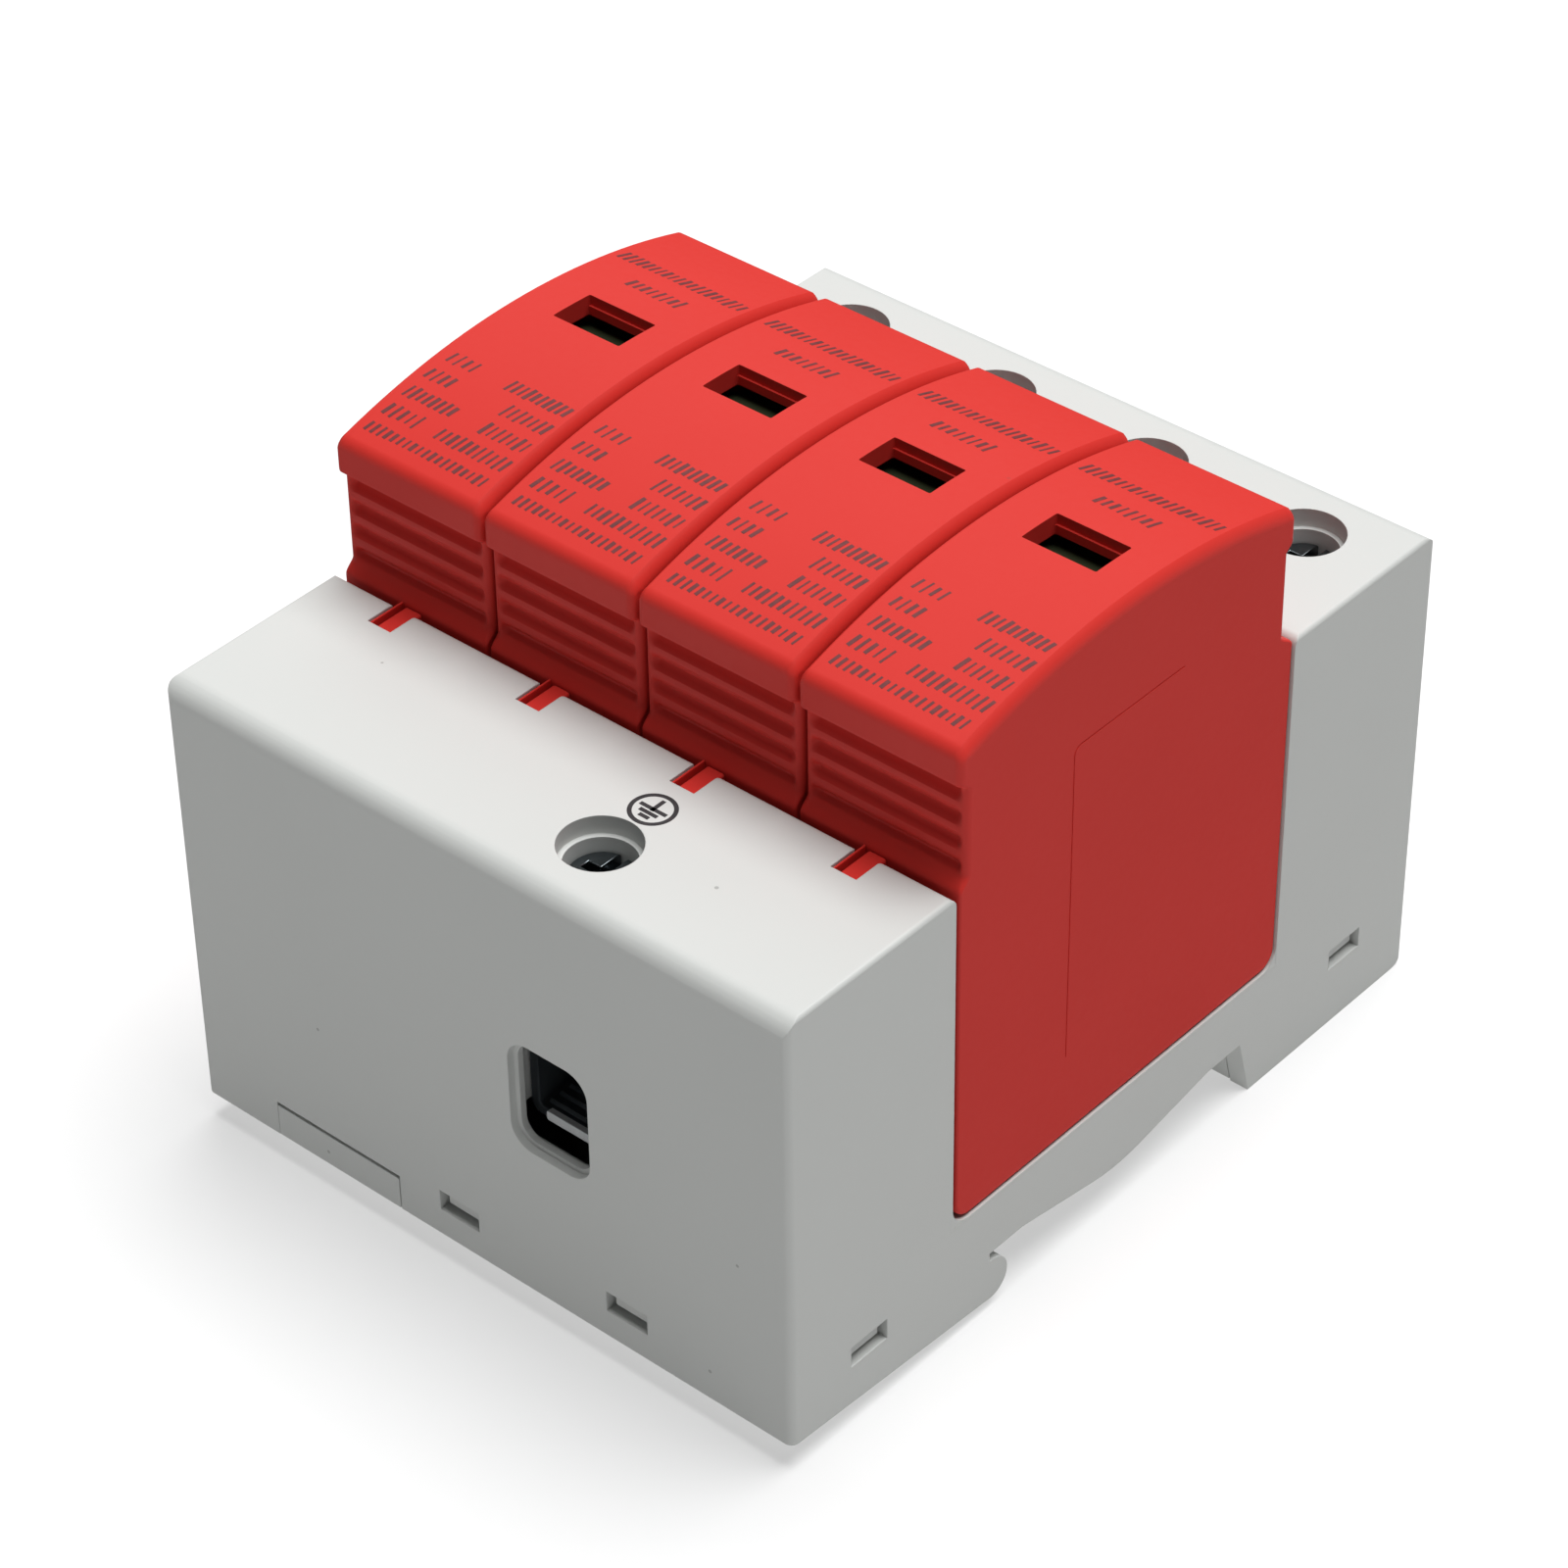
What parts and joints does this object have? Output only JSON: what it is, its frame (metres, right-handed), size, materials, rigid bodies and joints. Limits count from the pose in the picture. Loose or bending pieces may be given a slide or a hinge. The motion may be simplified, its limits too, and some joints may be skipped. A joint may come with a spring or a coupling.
{
  "type": "din rail surge arrester",
  "caption": "Gray rail-mounted base with two terminal blocks and a row of red pull-out surge protection plugs with grip grooves, status windows and screw clamps.",
  "frame": {"origin": "centre of the bounding box at the level of the rear foot", "axes": "+X along the rail, +Y across the rail towards the line terminals, +Z away from the rail"},
  "size_m": [0.072, 0.09, 0.0682],
  "materials": {
    "housing": "fine matte moulded",
    "plug_red": "satin moulded",
    "carrier_red": "satin moulded",
    "flag_green": "satin moulded",
    "varistor_blue": "epoxy coat",
    "copper": "bare strip",
    "tinned_blade": "tin plated",
    "zinc_steel": "zinc plated",
    "spring_steel": "drawn wire",
    "latch_gray": "moulded"
  },
  "bodies": {
    "base": {"base_housing": "housing", "bottom_cover": "housing", "signal_port_blank": "housing", "earth_busbar": "copper", "latch_spring_1": "spring_steel", "latch_spring_2": "spring_steel", "line_contact_1": "copper", "line_contact_2": "copper", "line_contact_3": "copper", "line_contact_4": "copper"},
    "earth_screw": {"earth_screw": "zinc_steel"},
    "earth_cage": {"earth_cage": "zinc_steel"},
    "line_screw_1": {"line_screw_1": "zinc_steel"},
    "line_cage_1": {"line_cage_1": "zinc_steel"},
    "line_screw_2": {"line_screw_2": "zinc_steel"},
    "line_cage_2": {"line_cage_2": "zinc_steel"},
    "line_screw_3": {"line_screw_3": "zinc_steel"},
    "line_cage_3": {"line_cage_3": "zinc_steel"},
    "line_screw_4": {"line_screw_4": "zinc_steel"},
    "line_cage_4": {"line_cage_4": "zinc_steel"},
    "plug_1": {"plug_casing_1": "plug_red", "plug_carrier_1": "carrier_red", "varistor_1": "varistor_blue", "earth_blade_1": "tinned_blade", "line_blade_1": "tinned_blade", "trip_spring_1": "spring_steel"},
    "status_1": {"status_slide_1": "flag_green"},
    "plug_2": {"plug_casing_2": "plug_red", "plug_carrier_2": "carrier_red", "varistor_2": "varistor_blue", "earth_blade_2": "tinned_blade", "line_blade_2": "tinned_blade", "trip_spring_2": "spring_steel"},
    "status_2": {"status_slide_2": "flag_green"},
    "plug_3": {"plug_casing_3": "plug_red", "plug_carrier_3": "carrier_red", "varistor_3": "varistor_blue", "earth_blade_3": "tinned_blade", "line_blade_3": "tinned_blade", "trip_spring_3": "spring_steel"},
    "status_3": {"status_slide_3": "flag_green"},
    "plug_4": {"plug_casing_4": "plug_red", "plug_carrier_4": "carrier_red", "varistor_4": "varistor_blue", "earth_blade_4": "tinned_blade", "line_blade_4": "tinned_blade", "trip_spring_4": "spring_steel"},
    "status_4": {"status_slide_4": "flag_green"},
    "latch_1": {"rail_latch_1": "latch_gray"},
    "latch_2": {"rail_latch_2": "latch_gray"}
  },
  "joints": [
    {"name": "earth_screw_turn", "type": "hinge", "parent": "base", "child": "earth_screw", "pos_m": [0.0087, -0.0372, 0.045], "axis": [0, 0, 1], "range_deg": [-3160, 0]},
    {"name": "earth_cage_lift", "type": "slide", "parent": "base", "child": "earth_cage", "axis": [0, 0, 1], "range_m": [0, 0.007]},
    {"name": "line_screw_1_turn", "type": "hinge", "parent": "base", "child": "line_screw_1", "pos_m": [-0.027, 0.0372, 0.045], "axis": [0, 0, 1], "range_deg": [-3160, 0]},
    {"name": "line_cage_1_lift", "type": "slide", "parent": "base", "child": "line_cage_1", "axis": [0, 0, 1], "range_m": [0, 0.007]},
    {"name": "line_screw_2_turn", "type": "hinge", "parent": "base", "child": "line_screw_2", "pos_m": [-0.009, 0.0372, 0.045], "axis": [0, 0, 1], "range_deg": [-3160, 0]},
    {"name": "line_cage_2_lift", "type": "slide", "parent": "base", "child": "line_cage_2", "axis": [0, 0, 1], "range_m": [0, 0.007]},
    {"name": "line_screw_3_turn", "type": "hinge", "parent": "base", "child": "line_screw_3", "pos_m": [0.009, 0.0372, 0.045], "axis": [0, 0, 1], "range_deg": [-3160, 0]},
    {"name": "line_cage_3_lift", "type": "slide", "parent": "base", "child": "line_cage_3", "axis": [0, 0, 1], "range_m": [0, 0.007]},
    {"name": "line_screw_4_turn", "type": "hinge", "parent": "base", "child": "line_screw_4", "pos_m": [0.027, 0.0372, 0.045], "axis": [0, 0, 1], "range_deg": [-3160, 0]},
    {"name": "line_cage_4_lift", "type": "slide", "parent": "base", "child": "line_cage_4", "axis": [0, 0, 1], "range_m": [0, 0.007]},
    {"name": "plug_1_pull", "type": "slide", "parent": "base", "child": "plug_1", "axis": [0, 0, 1], "range_m": [0, 0.042]},
    {"name": "status_1_trip", "type": "slide", "parent": "plug_1", "child": "status_1", "axis": [0, -1, 0], "range_m": [0, 0.0065], "deforming": ["trip_spring_1"]},
    {"name": "plug_2_pull", "type": "slide", "parent": "base", "child": "plug_2", "axis": [0, 0, 1], "range_m": [0, 0.042]},
    {"name": "status_2_trip", "type": "slide", "parent": "plug_2", "child": "status_2", "axis": [0, -1, 0], "range_m": [0, 0.0065], "deforming": ["trip_spring_2"]},
    {"name": "plug_3_pull", "type": "slide", "parent": "base", "child": "plug_3", "axis": [0, 0, 1], "range_m": [0, 0.042]},
    {"name": "status_3_trip", "type": "slide", "parent": "plug_3", "child": "status_3", "axis": [0, -1, 0], "range_m": [0, 0.0065], "deforming": ["trip_spring_3"]},
    {"name": "plug_4_pull", "type": "slide", "parent": "base", "child": "plug_4", "axis": [0, 0, 1], "range_m": [0, 0.042]},
    {"name": "status_4_trip", "type": "slide", "parent": "plug_4", "child": "status_4", "axis": [0, -1, 0], "range_m": [0, 0.0065], "deforming": ["trip_spring_4"]},
    {"name": "latch_1_release", "type": "slide", "parent": "base", "child": "latch_1", "axis": [0, 1, 0], "range_m": [0, 0.004], "stiffness_N_per_m": 300, "springref_m": -0.002, "deforming": ["latch_spring_1"]},
    {"name": "latch_2_release", "type": "slide", "parent": "base", "child": "latch_2", "axis": [0, 1, 0], "range_m": [0, 0.004], "stiffness_N_per_m": 300, "springref_m": -0.002, "deforming": ["latch_spring_2"]}
  ],
  "couplings": [
    {"joint": "earth_screw_turn", "follows": "earth_cage_lift", "rad_per_m": -7854},
    {"joint": "line_screw_1_turn", "follows": "line_cage_1_lift", "rad_per_m": -7854},
    {"joint": "line_screw_2_turn", "follows": "line_cage_2_lift", "rad_per_m": -7854},
    {"joint": "line_screw_3_turn", "follows": "line_cage_3_lift", "rad_per_m": -7854},
    {"joint": "line_screw_4_turn", "follows": "line_cage_4_lift", "rad_per_m": -7854}
  ]
}
